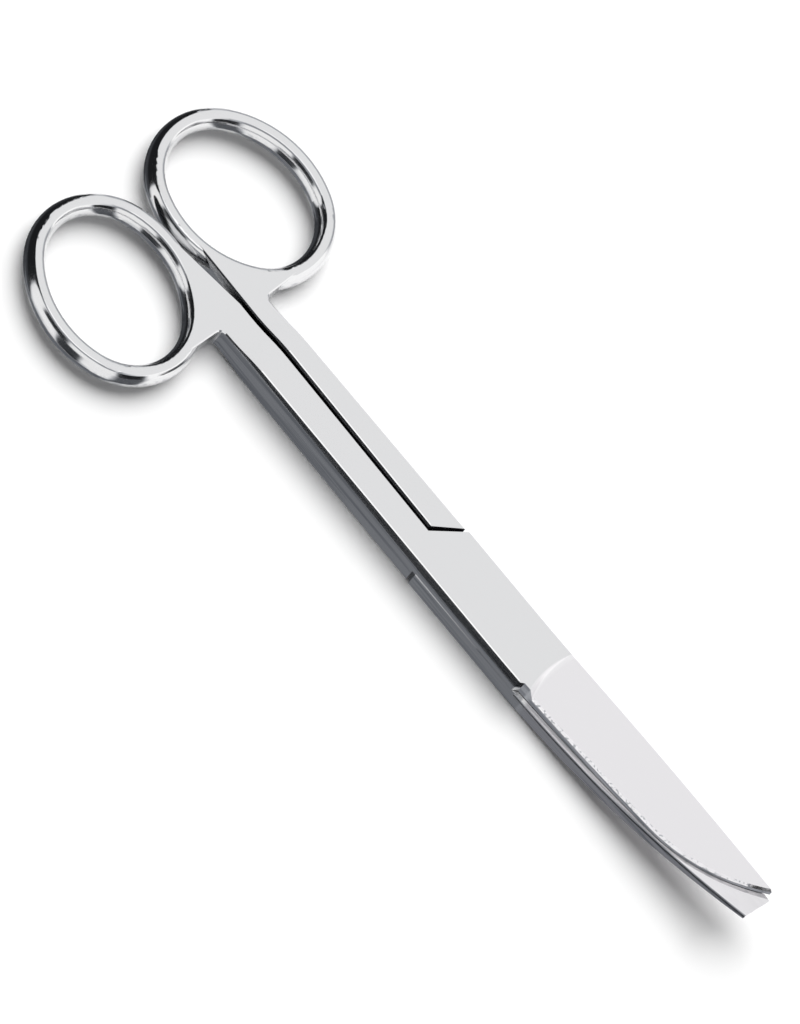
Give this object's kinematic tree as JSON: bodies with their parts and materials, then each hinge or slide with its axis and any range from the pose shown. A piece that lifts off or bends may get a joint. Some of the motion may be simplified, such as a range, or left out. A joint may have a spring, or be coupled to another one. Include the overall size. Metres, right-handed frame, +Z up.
{
  "type": "dressing scissors",
  "caption": "Curved surgical dressing scissors with oval finger rings, slim shanks and a lap joint, one blade sharp and the other blunt, polished steel.",
  "frame": {"origin": "under the middle of the closed scissors' length, midway between the finger rings, at the height of the flat underside that the scissors rest on", "axes": "+X along the scissors from the finger rings to the blade tips, +Z up through the thickness, towards the side that the blades curve to, +Y towards the finger ring of the lower half"},
  "size_m": [0.141, 0.0518, 0.0099],
  "materials": {
    "upper_steel": "polished",
    "lower_steel": "polished",
    "screw_steel": "turned"
  },
  "bodies": {
    "lower": {"lower_half": "lower_steel"},
    "upper": {"upper_half": "upper_steel", "pivot_screw": "screw_steel"}
  },
  "joints": [
    {"name": "pivot", "type": "hinge", "parent": "lower", "child": "upper", "pos_m": [0.00831, 0, 0.0028], "axis": [0, 0, 1], "range_deg": [0, 100]}
  ]
}
